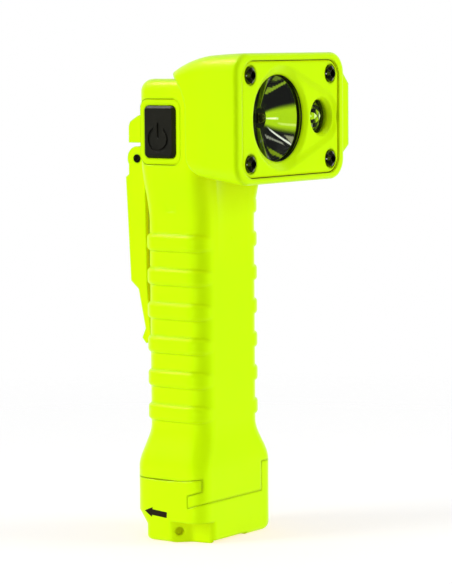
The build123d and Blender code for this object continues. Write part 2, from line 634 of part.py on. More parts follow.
# ---------------------------------------------------------------- head pivot
def make_pivot_bolt():
    """Shoulder bolt: the head of it sits in the right ear, the thread in the barrel."""
    head = along_x(5.2, 18.1, 20.1, PIVOT_Y, PIVOT_Z)
    shoulder = along_x(4.2, 11.5, 18.1, PIVOT_Y, PIVOT_Z)
    thread = along_x(2.95, 6.0, 11.5, PIVOT_Y, PIVOT_Z)
    socket = Pos(20.1, PIVOT_Y, PIVOT_Z) * Rot(0, 90, 0) * extrude(RegularPolygon(2.2, 6), 1.2, both=True)
    return head + shoulder + thread - socket


def make_pivot_bush():
    return along_x(5.95, 12.1, 17.9, PIVOT_Y, PIVOT_Z) - along_x(4.25, 0, 40, PIVOT_Y, PIVOT_Z)


def make_pivot_cap():
    """The push-in cover over the pivot bolt."""
    return along_x(7.45, 20.3, EAR_W / 2 + 0.1, PIVOT_Y, PIVOT_Z)


def make_friction_washers():
    rings = []
    left = along_x(9.5, -11.95, -11.45, PIVOT_Y, PIVOT_Z)
    left -= along_x(TRUNNION_R + 0.1, -40, 0, PIVOT_Y, PIVOT_Z)
    right = along_x(9.5, 11.45, 11.95, PIVOT_Y, PIVOT_Z) - along_x(4.3, 0, 40, PIVOT_Y, PIVOT_Z)
    rings += left.solids() + right.solids()
    return Compound(children=rings)


# ---------------------------------------------------------------- spring clip on the back
BACK_Y = EAR_D / 2


def make_clip_bracket():
    """The fixed block on the grip's back; two lugs carry the lever's pin."""
    outline = [
        (BACK_Y + 0.05, 142.0), (24.0, 142.0), (24.0, 147.0),
        (22.6, 149.6), (19.0, 151.8), (BACK_Y + 0.05, 152.4),
    ]
    block = side_profile(outline, -CLIP_HALF_W, CLIP_HALF_W)
    base = box(-9.6, 9.6, BACK_Y + 0.05, BACK_Y + 2.1, 124.5, 143.0)
    bracket = block + base
    for x0, x1 in ((-9.6, -5.2), (5.2, 9.6)):
        bracket += along_x(LUG_EYE_R, x0, x1, PIN_Y, PIN_Z)
        bracket += box(x0, x1, BACK_Y + 0.05, PIN_Y + 0.3, PIN_Z - LUG_EYE_R, 143.0)
    bracket = fillet(bracket.edges().filter_by(Axis.Z).filter_by(lambda e: e.center().Y > 23), 1.2)
    bracket -= along_x(PIN_R + 0.05, -20, 20, PIN_Y, PIN_Z)
    for x in (-7.0, 7.0):
        bracket -= along_y(1.3, 0, 40, x, 128.0)
    return bracket


def clip_outline(inset):
    """The lever's side view; inset pulls the back surface in, for the hollow."""
    i = inset
    return [
        (24.1 - i, 138.0), (24.1 - i, 130.6), (25.5 - i, 129.6), (23.6 - i, 91.8),
        (20.2 - i, 88.9), (17.0 - i * 0.6, 73.9),
    ]


def make_clip_lever():
    """A hollow-backed lever: flanges down both sides, a raised pad outside and a turned-up tip."""
    back = clip_outline(0)
    tip = [(18.1, 71.5), (16.4, CLIP_TIP_Z), (14.7, CLIP_TIP_Z + 0.6), (14.15, 72.6)]
    front = [(15.6, 90.0), (16.0, 126.0), (PIN_Y - 4.0, PIN_Z - 2.0)]
    body = side_profile(back + tip + front, -CLIP_HALF_W, CLIP_HALF_W)
    long_edges = body.edges().filter_by(lambda e: abs(e.center().X) > CLIP_HALF_W - 0.01)
    long_edges = long_edges.filter_by(lambda e: e.center().Y > 17.8 and 74 < e.center().Z < 134.9)
    body = fillet(long_edges, 1.2)
    body += along_x(4.4, -CLIP_HALF_W, CLIP_HALF_W, PIN_Y, PIN_Z)
    hollow = side_profile(
        [
            (21.9, 150), (21.9, 131.0), (22.6, 126.0), (21.4, 93.0),
            (17.9, 89.0), (15.9, 80.0), (8, 80), (8, 150),
        ],
        -CLIP_HALF_W + 2.0, CLIP_HALF_W - 2.0,
    )
    body -= hollow
    return body - along_x(PIN_R - 0.02, -20, 20, PIN_Y, PIN_Z)


def make_clip_pin():
    pin = along_x(PIN_R - 0.03, -CLIP_HALF_W - 0.3, CLIP_HALF_W + 0.3, PIN_Y, PIN_Z)
    for side in (-1, 1):
        x = side * (CLIP_HALF_W + 0.3)
        pin -= Pos(x, PIN_Y, PIN_Z) * Box(0.8, 0.5, 2.2)
    return pin


def make_clip_spring():
    """Torsion spring between the lugs: coil round the pin and one leg on the bracket, one on the lever."""
    path = Helix(pitch=0.95, height=7.6, radius=1.92)
    wire = Plane(origin=path @ 0, z_dir=path % 0) * Circle(0.3)
    coil = Rot(0, 90, 0) * sweep(wire, path=path)
    coil = Pos(-3.8, PIN_Y, PIN_Z) * coil
    return coil


def make_clip_screws():
    solids = []
    for x in (-7.0, 7.0):
        screw = pan_screw(2.2, 1.3, 1.1, 6.5)
        flipped = Pos(x, BACK_Y + 2.1, 128.0) * Rot(0, 0, 180) * screw
        solids += flipped.solids()
    return Compound(children=solids)


# ---------------------------------------------------------------- wiring
def wire_run(points, radius=0.6):
    """An insulated lead through the given points, with round elbows."""
    path = Polyline(*points)
    path = path if len(points) == 2 else FilletPolyline(*points, radius=1.2)
    start = Plane(origin=path @ 0, z_dir=path % 0)
    return sweep(start * Circle(radius), path=path)


def make_grip_leads():
    solids = []
    z0 = CELLS_TOP + 2.35
    for y in (-1.6, 1.6):
        solids += wire_run([(0.0, y, z0), (0.0, y, PIVOT_Z - 15.0)]).solids()
    return Compound(children=solids)


def make_switch_lead():
    z0 = CELLS_TOP + 2.35
    return wire_run([(-9.0, 0, z0), (-9.0, 0, z0 + 1.4), (-16.4, 0, z0 + 1.4), (-16.4, 0, 134.5)], 0.5)


def make_head_leads():
    solids = []
    for x in (-1.5, 1.5):
        run = [(x, 0.0, PIVOT_Z - 8.0), (x, 0.0, PIVOT_Z), (x, -24.2, PIVOT_Z)]
        solids += wire_run(run).solids()
    return Compound(children=solids)


# ---------------------------------------------------------------- write every node
NODES = {
    "grip_body": make_grip(),
    "battery_cap": make_cap(),
    "cap_contact_springs": make_contact_springs(),
    "cap_contact_plate": make_cap_contact(),
    "cap_seal": make_cap_seal(),
    "cell_liner": make_liner(),
    "contact_board": make_contact_board(),
    "top_contacts": make_top_contacts(),
    "switch_plate": make_switch_plate(),
    "power_button": make_button(),
    "switch_dome": make_switch_dome(),
    "switch_board": make_switch_board(),
    "head_housing": make_head_housing(),
    "bezel": make_bezel(),
    "bezel_gasket": make_bezel_gasket(),
    "bezel_screws": make_bezel_screws(),
    "main_window": make_main_window(),
    "main_window_seal": make_main_window_seal(),
    "main_reflector": make_main_reflector(),
    "main_led_board": make_main_led(),
    "main_led_emitter": make_main_emitter(),
    "spot_window": make_spot_window(),
    "spot_trim_ring": make_spot_trim(),
    "spot_reflector": make_spot_reflector(),
    "spot_led_board": make_spot_led(),
    "heat_sink": make_heat_sink(),
    "driver_board": make_driver_board(),
    "pivot_bolt": make_pivot_bolt(),
    "pivot_bush": make_pivot_bush(),
    "pivot_cap": make_pivot_cap(),
    "friction_washers": make_friction_washers(),
    "clip_bracket": make_clip_bracket(),
    "clip_lever": make_clip_lever(),
    "clip_pin": make_clip_pin(),
    "clip_spring": make_clip_spring(),
    "clip_screws": make_clip_screws(),
    "grip_leads": make_grip_leads(),
    "switch_lead": make_switch_lead(),
    "head_leads": make_head_leads(),
}
NODES.update(make_cells())

for name, shape in NODES.items():
    save(shape, name)
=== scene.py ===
import json
from math import cos, pi, radians, sin

import bmesh
import bpy
from mathutils import Matrix, Vector
from mathutils.bvhtree import BVHTree


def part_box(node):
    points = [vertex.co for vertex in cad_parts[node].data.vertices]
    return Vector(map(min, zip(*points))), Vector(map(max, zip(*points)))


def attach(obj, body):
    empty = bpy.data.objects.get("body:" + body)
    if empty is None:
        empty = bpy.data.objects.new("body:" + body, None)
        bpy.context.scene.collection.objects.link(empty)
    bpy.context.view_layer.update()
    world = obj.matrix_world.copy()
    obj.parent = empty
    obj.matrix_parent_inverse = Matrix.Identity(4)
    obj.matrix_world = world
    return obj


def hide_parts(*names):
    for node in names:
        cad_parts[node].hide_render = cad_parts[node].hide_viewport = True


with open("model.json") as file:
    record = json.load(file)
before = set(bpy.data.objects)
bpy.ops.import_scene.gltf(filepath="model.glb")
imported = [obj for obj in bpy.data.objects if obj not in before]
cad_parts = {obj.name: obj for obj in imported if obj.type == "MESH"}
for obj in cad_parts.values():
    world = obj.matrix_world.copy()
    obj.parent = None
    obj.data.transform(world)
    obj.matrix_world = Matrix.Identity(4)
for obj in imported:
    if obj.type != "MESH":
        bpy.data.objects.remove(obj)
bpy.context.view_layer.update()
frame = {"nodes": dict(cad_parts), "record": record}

MM = 0.001
scene = bpy.context.scene
nodes = frame["nodes"]

# ---------------------------------------------------------------- colours and the studio
HI_VIS = (0.60, 0.97, 0.0)
HI_VIS_DEEP = (0.56, 0.92, 0.0)
HI_VIS_BOUNCE_SHADE = (0.95, 0.66, 0.0)    # the plastic's colour to its own bounced light alone: painted amber shade in the crevices
HI_VIS_SHEEN = (0.8, 1.0, 0.12)
# painted glow: the plastic gives off a little light of its own, which lifts its shade
HI_VIS_PAINTED_GLOW = 0.04
FLOOR_PAINT = (0.66, 0.66, 0.66)
EDGE_ROUND = 1.5 * MM            # shading radius that softens the plastic's edges
GRAIN_DEPTH, SINK_DEPTH = 0.03 * MM, 0.25 * MM

# degrees, metres and a lens in millimetres on a sensor 36 mm wide
CAMERA_AZIMUTH, CAMERA_ELEVATION, CAMERA_ROLL = -54.009, 5.617, -0.433
CAMERA_DISTANCE, CAMERA_LENS, CAMERA_SENSOR = 0.91683, 156.32, 36
AIM_HEIGHT, AIM_SHIFT = 0.087953, 0.008721

FLOOR_GAP, FLOOR_HALF = 0.2 * MM, 1.0
FLOOR_LIFT = 0.75                # glow that keeps the floor near white
FLOOR_FADE = (0.10, 0.45)        # distances between which the floor fades into the backdrop
AMBIENT = 0.34
AMBIENT_REFLECTED = 0.015
# name, azimuth, elevation, distance, size, watts
SOFTBOXES = (
    ("left_rear", -125, 10, 1.0, (0.4, 0.9), 8.2),
    ("right_front", 32, 6, 1.0, (0.5, 0.9), 7.7),
    ("overhead", 0, 88, 1.0, (0.9, 0.9), 2.5),
)
# what shiny surfaces mirror, in degrees: azimuth, elevation, half size, softness, slant, colour
REFLECTED_PANELS = (
    (10, 0, (25, 11), 10, 0, (0.62, 0.98, 0.0)),
    (0, 8.5, (7, 1.2), 0.8, 0, (0.30, 0.24, 0.16)),
    (12, 0, (4, 1.0), 1.5, 0, (0.9, 0.8, 0.9)),
    (18.5, 25.5, (7, 1.3), 1.2, -0.7, (1.2, 1.2, 1.1)),
    (5, 26, (4, 2.5), 2.0, 0, (0.45, 0.45, 0.28)),
    (36, 28, (14, 0.5), 0.8, -0.2, (0.4, 0.4, 0.33)),
    (52, 33, (12, 1.0), 0.8, -0.45, (0.28, 0.42, 0.0)),
    (60, 38, (12, 0.6), 0.8, -0.45, (0.2, 0.3, 0.0)),
    (48, -34, (18, 0.9), 0.8, 0.34, (0.35, 0.52, 0.02)),
    (52, -38, (14, 0.6), 0.8, 0.34, (0.2, 0.3, 0.02)),
    (-84, -3, (6, 6), 2, 0, (7.0, 7.0, 7.0)),
    (-165, 56, (24, 8), 4, 0, (15.0, 15.0, 16.0)),
    (-148, 48, (32, 16), 12, 0, (1.8, 1.8, 1.8)),
    (126, 8, (42, 36), 14, 0, (0.9, 0.9, 0.9)),
    (0, 90, (180, 20), 12, 0, (1.0, 1.0, 1.0)),
)


# ---------------------------------------------------------------- node helpers
class Shader:
    """A thin wrapper that adds and links the nodes of one material."""

    def __init__(self, name):
        self.material = bpy.data.materials.new(name)
        self.material.use_nodes = True
        self.tree = self.material.node_tree
        self.tree.nodes.clear()
        self.output = self.tree.nodes.new("ShaderNodeOutputMaterial")
        self.coords = self.tree.nodes.new("ShaderNodeTexCoord").outputs["Object"]

    def node(self, kind, **inputs):
        made = self.tree.nodes.new(kind)
        for key, value in inputs.items():
            self.put(made, key.replace("_", " "), value)
        return made

    def put(self, made, key, value):
        socket = made.inputs[int(key)] if key.isdigit() else made.inputs[key]
        if isinstance(value, bpy.types.NodeSocket):
            self.tree.links.new(value, socket)
        elif isinstance(value, tuple) and len(value) == 3 and socket.type == "RGBA":
            socket.default_value = (*value, 1.0)
        else:
            socket.default_value = value

    def noise(self, scale, detail=4.0, roughness=0.6, vector=None):
        """Smooth noise from 0 to 1, with scale cells per metre."""
        made = self.node("ShaderNodeTexNoise", Scale=scale, Detail=detail, Roughness=roughness)
        self.put(made, "Vector", vector or self.coords)
        return made.outputs["Fac"]

    def ramp(self, fac, low, high):
        """Maps 0 to 1 onto low to high."""
        made = self.node("ShaderNodeMapRange", Value=fac)
        self.put(made, "To Min", low)
        self.put(made, "To Max", high)
        return made.outputs["Result"]

    def mix(self, fac, a, b):
        made = self.tree.nodes.new("ShaderNodeMix")
        made.data_type = "RGBA"
        self.put(made, "0", fac)
        for index, value in ((6, a), (7, b)):
            if isinstance(value, bpy.types.NodeSocket):
                self.tree.links.new(value, made.inputs[index])
            else:
                made.inputs[index].default_value = (*value, 1.0)
        return made.outputs[2]

    def math(self, operation, a, b=0.0):
        made = self.tree.nodes.new("ShaderNodeMath")
        made.operation = operation
        self.put(made, "0", a)
        self.put(made, "1", b)
        return made.outputs[0]

    def bump(self, height, strength, distance, normal=None):
        """A normal tilted by a height map, on which 1 stands distance metres above 0."""
        made = self.node("ShaderNodeBump", Strength=strength, Distance=distance, Height=height)
        if normal is not None:
            self.put(made, "Normal", normal)
        return made.outputs["Normal"]

    def soft_edges(self, radius):
        """A normal that rounds sharp edges by this radius in the shading alone."""
        made = self.tree.nodes.new("ShaderNodeBevel")
        made.samples = 4
        self.put(made, "Radius", radius)
        return made.outputs["Normal"]

    def principled(self, **inputs):
        made = self.node("ShaderNodeBsdfPrincipled", **inputs)
        self.tree.links.new(made.outputs["BSDF"], self.output.inputs["Surface"])
        return made


def hi_vis(name, grain=0.3, roughness=0.3):
    """Fluorescent moulded plastic: saturated, with a painted glow that lifts its shade, a fine grain and
    handling scuffs.
    """
    s = Shader(name)
    cloud = s.noise(60.0, 3.0)
    seen = s.mix(s.ramp(cloud, 0.0, 1.0), HI_VIS, HI_VIS_DEEP)
    bounced = s.tree.nodes.new("ShaderNodeLightPath").outputs["Is Diffuse Ray"]
    # diffuse bounces take the amber colour: painted shade that turns the crevices amber
    colour = s.mix(bounced, seen, HI_VIS_BOUNCE_SHADE)
    fine = s.noise(2600.0, 2.0)
    scuffs = s.noise(420.0, 6.0, 0.7)
    normal = s.soft_edges(EDGE_ROUND)
    normal = s.bump(fine, grain, GRAIN_DEPTH, normal)
    normal = s.bump(cloud, 0.12, SINK_DEPTH, normal)
    s.principled(
        Base_Color=colour,
        Roughness=s.ramp(scuffs, roughness - 0.08, roughness + 0.10),
        Normal=normal,
        IOR=1.42,
        Specular_Tint=HI_VIS_SHEEN,
        # painted glow in the plastic's own colour
        Emission_Color=HI_VIS,
        Emission_Strength=HI_VIS_PAINTED_GLOW,
    )
    return s.material


def rubber(name, colour, grain):
    """Dark elastomer with a pebbled skin."""
    s = Shader(name)
    pebble = s.node("ShaderNodeTexVoronoi", Scale=2400.0)
    s.put(pebble, "Vector", s.coords)
    dust = s.noise(300.0, 5.0)
    normal = s.bump(pebble.outputs["Distance"], grain, 0.04 * MM, s.soft_edges(0.3 * MM))
    lighter = tuple(c * 1.5 + 0.001 for c in colour)
    s.principled(
        Base_Color=s.mix(dust, colour, lighter),
        Roughness=s.ramp(dust, 0.42, 0.62),
        Normal=normal,
        Specular_IOR_Level=0.3,
    )
    return s.material


def metal(name, colour, roughness, brushed=0.0):
    """Metal with fine directional or random wear."""
    s = Shader(name)
    stretch = s.node("ShaderNodeMapping", Vector=s.coords, Scale=(60.0, 1800.0, 1800.0))
    lines = s.noise(1.0, 3.0, 0.6, stretch.outputs["Vector"])
    wear = s.noise(500.0, 5.0)
    s.principled(
        Base_Color=s.mix(wear, colour, tuple(c * 0.8 for c in colour)),
        Metallic=1.0,
        Roughness=s.ramp(wear, roughness * 0.7, roughness * 1.3),
        Normal=s.bump(lines, brushed, 0.02 * MM),
    )
    return s.material


def black_gloss(name):
    """Black lacquered steel: deep gloss over a slightly uneven coat."""
    s = Shader(name)
    orange_peel = s.noise(900.0, 2.0)
    s.principled(
        Base_Color=s.mix(orange_peel, (0.004, 0.004, 0.003), (0.010, 0.009, 0.007)),
        Roughness=s.ramp(orange_peel, 0.05, 0.14),
        Coat_Weight=0.6,
        Coat_Roughness=0.04,
        Normal=s.bump(orange_peel, 0.15, GRAIN_DEPTH, s.soft_edges(0.15 * MM)),
    )
    return s.material


def clear_window(name):
    """A hard-coated clear pane: almost all light passes, the rest is a soft surface glint."""
    s = Shader(name)
    smear = s.noise(140.0, 4.0)
    glossy = s.node("ShaderNodeBsdfGlossy", Roughness=s.ramp(smear, 0.02, 0.09))
    through = s.node("ShaderNodeBsdfTransparent", Color=(0.97, 0.985, 0.96))
    facing = s.tree.nodes.new("ShaderNodeLayerWeight").outputs["Facing"]
    glint = s.math("ADD", s.math("MULTIPLY", s.math("POWER", facing, 5.0), 0.8), 0.02)
    mixed = s.node("ShaderNodeMixShader", **{"0": glint})
    s.put(mixed, "1", through.outputs[0])
    s.put(mixed, "2", glossy.outputs[0])
    s.tree.links.new(mixed.outputs[0], s.output.inputs["Surface"])
    return s.material


def reflector_chrome(name):
    """Vacuum-metallised cup: mirror-bright with a faint haze."""
    s = Shader(name)
    haze = s.noise(200.0, 4.0)
    s.principled(
        Base_Color=s.mix(haze, (0.86, 0.87, 0.86), (0.78, 0.80, 0.78)),
        Metallic=1.0,
        Roughness=s.ramp(haze, 0.02, 0.07),
        Normal=s.bump(haze, 0.05, GRAIN_DEPTH),
    )
    return s.material


def circuit_board(name):
    """Green solder mask over a faint pattern of tracks."""
    s = Shader(name)
    tracks = s.node("ShaderNodeTexBrick", Scale=500.0)
    s.put(tracks, "Vector", s.coords)
    pattern = tracks.outputs["Fac"]
    colour = s.mix(s.math("MULTIPLY", pattern, 0.4), (0.02, 0.14, 0.05), (0.35, 0.33, 0.1))
    s.principled(Base_Color=colour, Roughness=0.35, Normal=s.bump(pattern, 0.3, 0.05 * MM))
    return s.material


def led_lens(name):
    """Unlit emitter: dark and glassy with a hint of the yellow phosphor under it."""
    s = Shader(name)
    cells = s.node("ShaderNodeTexVoronoi", Scale=1800.0)
    s.put(cells, "Vector", s.coords)
    s.principled(
        Base_Color=s.mix(cells.outputs["Distance"], (0.010, 0.010, 0.006), (0.06, 0.05, 0.01)),
        Roughness=0.08,
        Coat_Weight=1.0,
        Normal=s.bump(cells.outputs["Distance"], 0.2, 0.05 * MM),
    )
    return s.material


def ink(name):
    """Screen-printed black: very slightly raised, uneven at its edges."""
    s = Shader(name)
    grain = s.noise(1500.0, 3.0)
    s.principled(
        Base_Color=s.mix(grain, (0.010, 0.007, 0.002), (0.028, 0.018, 0.005)),
        Roughness=s.ramp(grain, 0.35, 0.6),
        Normal=s.bump(grain, 0.3, GRAIN_DEPTH),
    )
    return s.material


def floor_paint(name):
    """Pale painted floor that fades into the white backdrop away from the object."""
    s = Shader(name)
    mottle = s.noise(14.0, 3.0)
    worn = tuple(c * 0.985 for c in FLOOR_PAINT)
    paint = s.node("ShaderNodeBsdfDiffuse", Color=s.mix(mottle, FLOOR_PAINT, worn))
    distance = s.node("ShaderNodeVectorMath", **{"0": s.coords})
    distance.operation = "LENGTH"
    near, far = FLOOR_FADE
    fade = s.node("ShaderNodeMapRange", Value=distance.outputs["Value"], From_Min=near, From_Max=far)
    lift = s.node("ShaderNodeEmission", Color=FLOOR_PAINT, Strength=FLOOR_LIFT)
    lifted = s.node("ShaderNodeAddShader", **{"0": paint.outputs[0], "1": lift.outputs[0]})
    mixed = s.node("ShaderNodeMixShader", **{"0": fade.outputs["Result"]})
    s.put(mixed, "1", lifted.outputs[0])
    s.put(mixed, "2", s.node("ShaderNodeBsdfTransparent").outputs[0])
    s.tree.links.new(mixed.outputs[0], s.output.inputs["Surface"])
    return s.material


MATERIALS = {
    "hi_vis_plastic": hi_vis("hi_vis_plastic"),
    "clear_window": clear_window("clear_window"),
    "reflector_chrome": reflector_chrome("reflector_chrome"),
    "black_rubber": rubber("black_rubber", (0.012, 0.011, 0.007), 0.3),
    "button_rubber": rubber("button_rubber", (0.009, 0.009, 0.006), 0.55),
    "black_screw": black_gloss("black_screw"),
    "steel": metal("steel", (0.62, 0.62, 0.63), 0.25, 0.3),
    "spring_steel": metal("spring_steel", (0.6, 0.6, 0.58), 0.3, 0.2),
    "brass": metal("brass", (0.78, 0.58, 0.25), 0.25, 0.2),
    "aluminium": metal("aluminium", (0.72, 0.73, 0.75), 0.35, 0.4),
    "board": circuit_board("board"),
    "led": led_lens("led"),
    "seam_rubber": rubber("seam_rubber", (0.045, 0.028, 0.006), 0.1),
    "dark_board": rubber("dark_board", (0.006, 0.006, 0.006), 0.1),
    "liner_plastic": rubber("liner_plastic", (0.03, 0.03, 0.03), 0.2),
    "cell_jacket": rubber("cell_jacket", (0.05, 0.055, 0.07), 0.05),
    "acetal": hi_vis("acetal", 0.2, 0.5),
    "wire_red": rubber("wire_red", (0.35, 0.02, 0.015), 0.1),
}
# nodes whose look differs from their material slot's
OWN_LOOK = {"clip_pin": "black_screw", "main_led_board": "dark_board", "spot_led_board": "dark_board"}
for subpart in frame["record"]["subparts"]:
    mesh = nodes[subpart["node"]].data
    mesh.materials.clear()
    mesh.materials.append(MATERIALS[OWN_LOOK.get(subpart["node"], subpart["material_slot"])])


# ---------------------------------------------------------------- added pieces
def add_piece(name, bm, material, body):
    """Turns a finished bmesh into a piece that rides on a body."""
    mesh = bpy.data.meshes.new(name)
    bmesh.ops.recalc_face_normals(bm, faces=bm.faces)
    bm.to_mesh(mesh)
    bm.free()
    mesh.materials.append(material)
    piece = bpy.data.objects.new(name, mesh)
    scene.collection.objects.link(piece)
    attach(piece, body)
    return piece


def surface_tree(node):
    """Ray-cast tree of a CAD node, for laying a print on it."""
    mesh = nodes[node].data
    points = [v.co.copy() for v in mesh.vertices]
    return BVHTree.FromPolygons(points, [tuple(f.vertices) for f in mesh.polygons])


ARROW_TAIL, ARROW_TIP = (-0.3 * MM, 9.7 * MM), (9.7 * MM, 10.5 * MM)    # (y, z) on the cap's left side
ARROW_HEAD, ARROW_BARB, ARROW_SHAFT = 3.5 * MM, 1.8 * MM, 1.05 * MM    # length and two half widths
INK_PROUD, INK_SUNK = 0.04 * MM, 0.02 * MM
INK_STEP = 0.4 * MM              # the print is sliced this finely so that it follows the cap's corner
BESIDE_CAP = -50 * MM


def cut(bm, place, direction):
    """Slices every face of bm along a plane."""
    everything = bm.verts[:] + bm.edges[:] + bm.faces[:]
    bmesh.ops.bisect_plane(bm, geom=everything, plane_co=place, plane_no=direction)


def make_arrow_print():
    """The opening arrow printed on the cap's left side: it points to the back, the way the cap slides."""
    tail, tip = Vector(ARROW_TAIL), Vector(ARROW_TIP)
    along = (tip - tail).normalized()
    across = Vector((-along.y, along.x))
    neck = tip - along * ARROW_HEAD
    half = [tail + across * ARROW_SHAFT, neck + across * ARROW_SHAFT, neck + across * ARROW_BARB, tip]
    other_half = [neck - across * ARROW_BARB, neck - across * ARROW_SHAFT, tail - across * ARROW_SHAFT]
    bm = bmesh.new()
    bm.faces.new([bm.verts.new((BESIDE_CAP, y, z)) for y, z in half + other_half])
    for step in range(1, 1 + round((tip - tail).length / INK_STEP)):
        cut(bm, (0, tail.x + step * INK_STEP, 0), (0, 1, 0))
    cut(bm, (0, 0, tip.y), (0, 0, 1))
    extruded = bmesh.ops.extrude_face_region(bm, geom=bm.faces[:])["geom"]
    under = {v for v in extruded if isinstance(v, bmesh.types.BMVert)}
    cap = surface_tree("battery_cap")
    for vertex in bm.verts:
        hit = cap.ray_cast(vertex.co.copy(), Vector((1, 0, 0)))[0]
        vertex.co.x = hit.x + (INK_SUNK if vertex in under else -INK_PROUD)
    add_piece("cap_arrow_print", bm, ink("arrow_ink"), "cap")


def rounded_outline(width, height, radius, corner_steps=8):
    """Points round a rounded rectangle centred on the origin."""
    points = []
    for quarter, (side_x, side_y) in enumerate(((1, 1), (-1, 1), (-1, -1), (1, -1))):
        centre = Vector((side_x * (width / 2 - radius), side_y * (height / 2 - radius)))
        for i in range(corner_steps + 1):
            angle = (quarter + i / corner_steps) * pi / 2
            points.append(centre + radius * Vector((cos(angle), sin(angle))))
    return points


def skin(bm, rings):
    """Joins closed rings of vertices, each to the next and the last to the first, into a closed skin."""
    for ring, following in zip(rings, rings[1:] + rings[:1]):
        for i in range(len(ring)):
            j = (i + 1) % len(ring)
            bm.faces.new((ring[i], ring[j], following[j], following[i]))


def seal_cord(name, size, thickness, depths, place, body):
    """A closed cord that fills the joint round a plate; place maps (u, v, depth) to the frame."""
    width, height, radius = size
    shallow, deep = depths
    half = thickness / 2
    outer = rounded_outline(width + thickness, height + thickness, radius + half)
    inner = rounded_outline(width - thickness, height - thickness, radius - half)
    bm = bmesh.new()
    edges = ((outer, shallow), (inner, shallow), (inner, deep), (outer, deep))
    rings = [[bm.verts.new(place(p.x, p.y, depth)) for p in loop] for loop, depth in edges]
    skin(bm, rings)
    add_piece(name, bm, MATERIALS["seam_rubber"], body)


# round each plate: the joint's width and corner radius, the cord's thickness, and the depths it runs between
BEZEL_JOINT, BEZEL_CORNER, BEZEL_CORD = 0.25 * MM, 6.1 * MM, 0.22 * MM
BEZEL_CORD_DEPTHS = (0.5 * MM, 1.6 * MM)
SWITCH_JOINT, SWITCH_CORNER, SWITCH_CORD = 0.15 * MM, 3.3 * MM, 0.13 * MM
SWITCH_CORD_DEPTHS = (0.15 * MM, 1.0 * MM)


def make_seams():
    """The dark seal cords that show as lines round the bezel and the switch plate."""
    (x0, front, z0), (x1, _, z1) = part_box("bezel")
    middle_x, middle_z = (x0 + x1) / 2, (z0 + z1) / 2
    size = (x1 - x0 + BEZEL_JOINT, z1 - z0 + BEZEL_JOINT, BEZEL_CORNER)
    seal_cord("bezel_seal_cord", size, BEZEL_CORD, BEZEL_CORD_DEPTHS,
              lambda u, v, d: (middle_x + u, front + d, middle_z + v), "head")
    (left, y0, z0), (_, y1, z1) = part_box("switch_plate")
    middle_y, centre_z = (y0 + y1) / 2, (z0 + z1) / 2
    size = (y1 - y0 + SWITCH_JOINT, z1 - z0 + SWITCH_JOINT, SWITCH_CORNER)
    seal_cord("switch_seal_cord", size, SWITCH_CORD, SWITCH_CORD_DEPTHS,
              lambda u, v, d: (left + d, middle_y + u, centre_z + v), "grip")


def turned_ring(name, profile, centre, material, body, steps=96):
    """A closed ring turned about an axis along Y; profile lists its section's (radius, y) points in order."""
    bm = bmesh.new()
    rings = []
    for i in range(steps):
        angle = 2 * pi * i / steps
        u, v = cos(angle), sin(angle)
        rings.append([bm.verts.new((centre[0] + r * u, y, centre[1] + r * v)) for r, y in profile])
    skin(bm, rings)
    return add_piece(name, bm, material, body)


LIP_OUTER, LIP_INNER, LIP_HEIGHT = 15.17 * MM, 14.95 * MM, 0.45 * MM
LIP_BEVEL, LIP_CLEARANCE = 0.12 * MM, 0.03 * MM


def make_window_lip():
    """The dark lip of the main window's seal, seen inside the lamp opening."""
    (x0, pane, z0), (x1, _, z1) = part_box("main_window")
    front, back = pane - LIP_HEIGHT, pane - LIP_CLEARANCE
    profile = (
        (LIP_OUTER, back),
        (LIP_OUTER, front + LIP_BEVEL),
        (LIP_OUTER - LIP_BEVEL, front),
        (LIP_INNER + LIP_BEVEL, front),
        (LIP_INNER, front + LIP_BEVEL),
        (LIP_INNER, back),
    )
    centre = ((x0 + x1) / 2, (z0 + z1) / 2)
    turned_ring("main_window_lip", profile, centre, MATERIALS["black_screw"], "head")


MOUTH_R, MOUTH_BEVEL, MOUTH_DEPTH = 5.5 * MM, 0.1 * MM, 0.35 * MM
FACETS = 10
CUP_RIM_R, CUP_GAP = 6.1 * MM, 0.02 * MM
# radius in millimetres and depth as a share of the cup's, from its mouth to its throat
CUP_PROFILE = ((5.3, 0.0), (4.9, 0.05), (4.2, 0.13), (3.3, 0.22), (2.3, 0.30), (1.4, 0.37))


def make_mouth_ring():
    """The dark ring at the small lamp's mouth; returns the lamp's centre and the ring's back."""
    (x0, front, z0), (x1, _, z1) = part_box("spot_trim_ring")
    centre, outer, back = ((x0 + x1) / 2, (z0 + z1) / 2), (x1 - x0) / 2, front + MOUTH_DEPTH
    profile = ((outer, front), (MOUTH_R + MOUTH_BEVEL, front), (MOUTH_R, back), (outer, back))
    ring = turned_ring("spot_mouth_ring", profile, centre, MATERIALS["black_screw"], "head")
    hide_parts("spot_trim_ring")
    return centre, back


